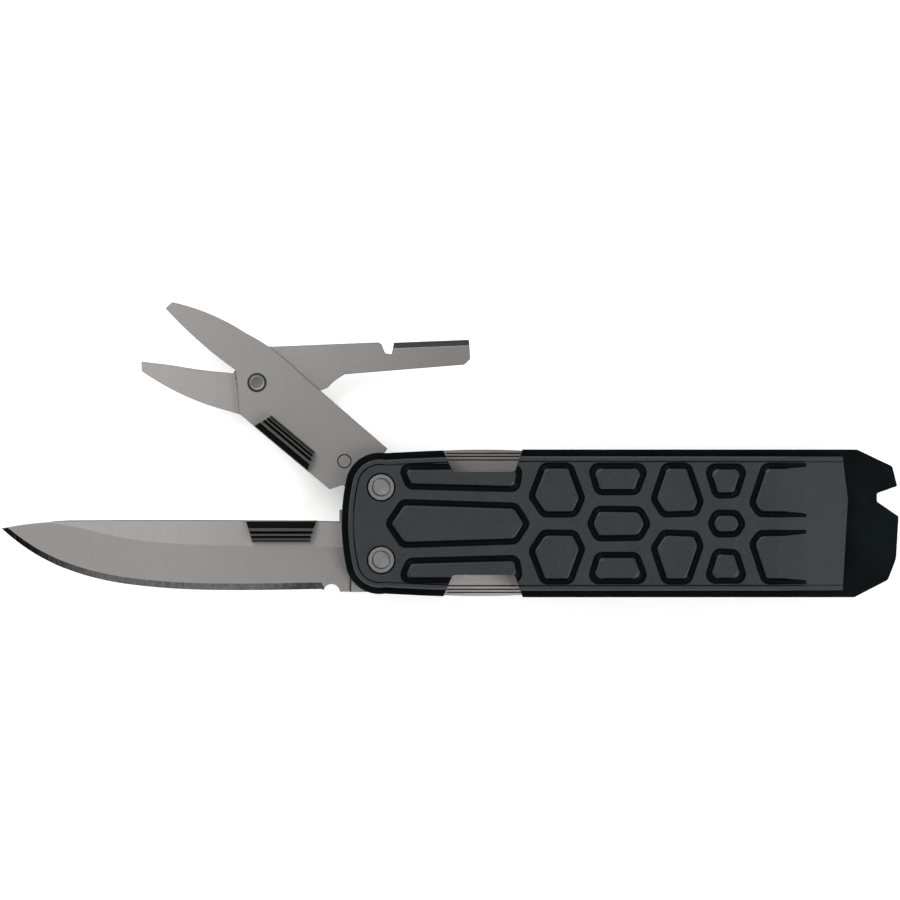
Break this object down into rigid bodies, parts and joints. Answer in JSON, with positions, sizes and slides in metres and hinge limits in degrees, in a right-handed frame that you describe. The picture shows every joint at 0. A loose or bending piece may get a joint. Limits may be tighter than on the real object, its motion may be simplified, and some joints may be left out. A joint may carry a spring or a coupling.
{
  "type": "pocket multi tool",
  "caption": "Slim pocket multi tool with a folding knife blade, spring scissors, side lock tabs and a notched pry end.",
  "frame": {"origin": "middle of the handle's flat back face, half way between its two long sides", "axes": "+X along the handle towards the pry end, +Y towards the scissors side, +Z through the handle from back face to front face"},
  "size_m": [0.163, 0.0536, 0.0133],
  "materials": {
    "grip_scale": "fine matte texture, dark grey, moulded",
    "black_steel": "black oxide coated steel, matte",
    "liner_steel": "bead blasted stainless steel",
    "blade_steel": "satin grey coated blade steel",
    "tool_steel": "satin grey stainless steel",
    "spring_steel": "drawn spring wire",
    "pivot_steel": "turned stainless steel",
    "thumb_pad": "black moulded, ribbed",
    "bronze": "plain bronze washer",
    "screw_steel": "blackened screw steel"
  },
  "bodies": {
    "handle": {"front_scale": "grip_scale", "back_scale": "grip_scale", "pry_frame": "black_steel", "back_frame": "black_steel", "lock_liner": "liner_steel", "rear_spacer": "black_steel", "blade_pivot_pin": "pivot_steel", "scissors_pivot_pin": "pivot_steel", "front_pivot_collars": "pivot_steel", "back_pivot_collars": "pivot_steel", "stop_pins": "pivot_steel", "handle_screws": "screw_steel", "front_scale_screws": "screw_steel", "back_scale_screws": "screw_steel", "blade_washer": "bronze", "scissors_washers": "bronze"},
    "blade": {"blade": "blade_steel", "blade_thumb_pad": "thumb_pad"},
    "scissors": {"scissors_body": "tool_steel", "scissors_thumb_pad": "thumb_pad", "scissors_rivet": "pivot_steel", "scissors_rivet_washer": "black_steel", "spring_anchor_pin": "pivot_steel", "scissors_spring": "spring_steel"},
    "scissors_lever": {"scissors_lever": "tool_steel"},
    "blade_lock": {"blade_lock_bar": "liner_steel"},
    "scissors_lock": {"scissors_lock_bar": "liner_steel"}
  },
  "joints": [
    {"name": "blade_pivot", "type": "hinge", "parent": "handle", "child": "blade", "pos_m": [-0.03895, -0.00657, 0.0071], "axis": [0, 0, 1], "range_deg": [0, 180]},
    {"name": "scissors_pivot", "type": "hinge", "parent": "handle", "child": "scissors", "pos_m": [-0.03895, 0.00657, 0.0069], "axis": [0, 0, 1], "range_deg": [-140, 36]},
    {"name": "lever_pivot", "type": "hinge", "parent": "scissors", "child": "scissors_lever", "pos_m": [-0.06161, 0.02557, 0.0055], "axis": [0, 0, 1], "range_deg": [-41.2, 0], "stiffness_Nm_per_rad": 0.03, "springref_deg": 28.65, "deforming": ["scissors_spring"]},
    {"name": "blade_lock_press", "type": "hinge", "parent": "handle", "child": "blade_lock", "pos_m": [-0.006, -0.0105, 0.0042], "axis": [0, -1, 0], "range_deg": [0, 2.4], "stiffness_Nm_per_rad": 0.08, "springref_deg": -2.86},
    {"name": "scissors_lock_press", "type": "hinge", "parent": "handle", "child": "scissors_lock", "pos_m": [-0.006, 0.0105, 0.0042], "axis": [0, -1, 0], "range_deg": [0, 2.4], "stiffness_Nm_per_rad": 0.08, "springref_deg": -2.86}
  ]
}
